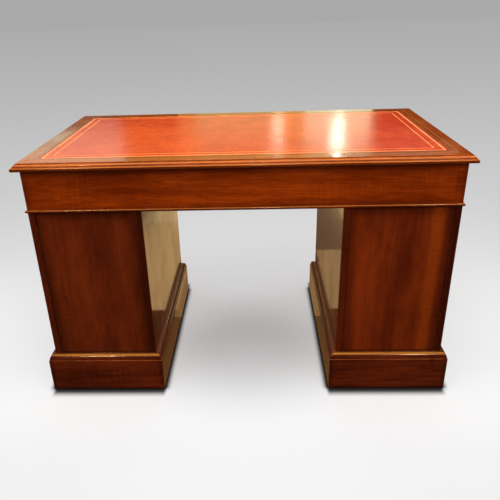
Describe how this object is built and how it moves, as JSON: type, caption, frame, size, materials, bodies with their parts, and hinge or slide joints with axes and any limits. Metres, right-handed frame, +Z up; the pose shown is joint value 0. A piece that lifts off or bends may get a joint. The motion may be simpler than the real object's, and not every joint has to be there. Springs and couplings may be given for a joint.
{
  "type": "writing desk with drawers",
  "caption": "Pedestal writing desk with a leather-lined moulded top, drawers in the frieze and in the pedestals, moulded plinths and an open kneehole.",
  "frame": {"origin": "on the floor under the centre of the top", "axes": "+Z up, +Y towards the plain back, so the drawers open towards -Y, and +X to the right of a sitter who faces the back"},
  "size_m": [1.29, 0.738, 0.77],
  "materials": {
    "mahogany": "red-brown mahogany, French polished to a gloss",
    "leather": "red hide, waxed, with gilt tooled border lines",
    "drawer_lining": "plain oak, unpolished",
    "carcass_timber": "plain sawn pine, unpolished"
  },
  "bodies": {
    "desk": {"drawer_stops": "carcass_timber", "frieze_back": "mahogany", "frieze_bead_long": "mahogany", "frieze_bead_short": "mahogany", "frieze_dividers": "mahogany", "frieze_kickers": "carcass_timber", "frieze_rail_lower": "mahogany", "frieze_rail_upper": "mahogany", "frieze_runners": "carcass_timber", "frieze_side_left": "mahogany", "frieze_side_right": "mahogany", "pedestal_left_back": "mahogany", "pedestal_left_bottom_board": "carcass_timber", "pedestal_left_plinth_long": "mahogany", "pedestal_left_plinth_short": "mahogany", "pedestal_left_rails": "mahogany", "pedestal_left_runners": "carcass_timber", "pedestal_left_side_inner": "mahogany", "pedestal_left_side_outer": "mahogany", "pedestal_left_top_board": "carcass_timber", "pedestal_right_back": "mahogany", "pedestal_right_bottom_board": "carcass_timber", "pedestal_right_plinth_long": "mahogany", "pedestal_right_plinth_short": "mahogany", "pedestal_right_rails": "mahogany", "pedestal_right_runners": "carcass_timber", "pedestal_right_side_inner": "mahogany", "pedestal_right_side_outer": "mahogany", "pedestal_right_top_board": "carcass_timber", "top_edge_long": "mahogany", "top_edge_short": "mahogany", "top_panel": "carcass_timber", "writing_leather": "leather"},
    "drawer_top_left": {"drawer_top_left_front": "mahogany", "drawer_top_left_box": "drawer_lining", "drawer_top_left_knobs": "mahogany"},
    "drawer_top_centre": {"drawer_top_centre_front": "mahogany", "drawer_top_centre_box": "drawer_lining", "drawer_top_centre_knobs": "mahogany"},
    "drawer_top_right": {"drawer_top_right_front": "mahogany", "drawer_top_right_box": "drawer_lining", "drawer_top_right_knobs": "mahogany"},
    "drawer_left_lower": {"drawer_left_lower_front": "mahogany", "drawer_left_lower_box": "drawer_lining", "drawer_left_lower_knobs": "mahogany"},
    "drawer_left_middle": {"drawer_left_middle_front": "mahogany", "drawer_left_middle_box": "drawer_lining", "drawer_left_middle_knobs": "mahogany"},
    "drawer_left_upper": {"drawer_left_upper_front": "mahogany", "drawer_left_upper_box": "drawer_lining", "drawer_left_upper_knobs": "mahogany"},
    "drawer_right_lower": {"drawer_right_lower_front": "mahogany", "drawer_right_lower_box": "drawer_lining", "drawer_right_lower_knobs": "mahogany"},
    "drawer_right_middle": {"drawer_right_middle_front": "mahogany", "drawer_right_middle_box": "drawer_lining", "drawer_right_middle_knobs": "mahogany"},
    "drawer_right_upper": {"drawer_right_upper_front": "mahogany", "drawer_right_upper_box": "drawer_lining", "drawer_right_upper_knobs": "mahogany"}
  },
  "joints": [
    {"name": "drawer_top_left_slide", "type": "slide", "parent": "desk", "child": "drawer_top_left", "axis": [0, -1, 0], "range_m": [0, 0.45]},
    {"name": "drawer_top_centre_slide", "type": "slide", "parent": "desk", "child": "drawer_top_centre", "axis": [0, -1, 0], "range_m": [0, 0.45]},
    {"name": "drawer_top_right_slide", "type": "slide", "parent": "desk", "child": "drawer_top_right", "axis": [0, -1, 0], "range_m": [0, 0.45]},
    {"name": "drawer_left_lower_slide", "type": "slide", "parent": "desk", "child": "drawer_left_lower", "axis": [0, -1, 0], "range_m": [0, 0.45]},
    {"name": "drawer_left_middle_slide", "type": "slide", "parent": "desk", "child": "drawer_left_middle", "axis": [0, -1, 0], "range_m": [0, 0.45]},
    {"name": "drawer_left_upper_slide", "type": "slide", "parent": "desk", "child": "drawer_left_upper", "axis": [0, -1, 0], "range_m": [0, 0.45]},
    {"name": "drawer_right_lower_slide", "type": "slide", "parent": "desk", "child": "drawer_right_lower", "axis": [0, -1, 0], "range_m": [0, 0.45]},
    {"name": "drawer_right_middle_slide", "type": "slide", "parent": "desk", "child": "drawer_right_middle", "axis": [0, -1, 0], "range_m": [0, 0.45]},
    {"name": "drawer_right_upper_slide", "type": "slide", "parent": "desk", "child": "drawer_right_upper", "axis": [0, -1, 0], "range_m": [0, 0.45]}
  ]
}
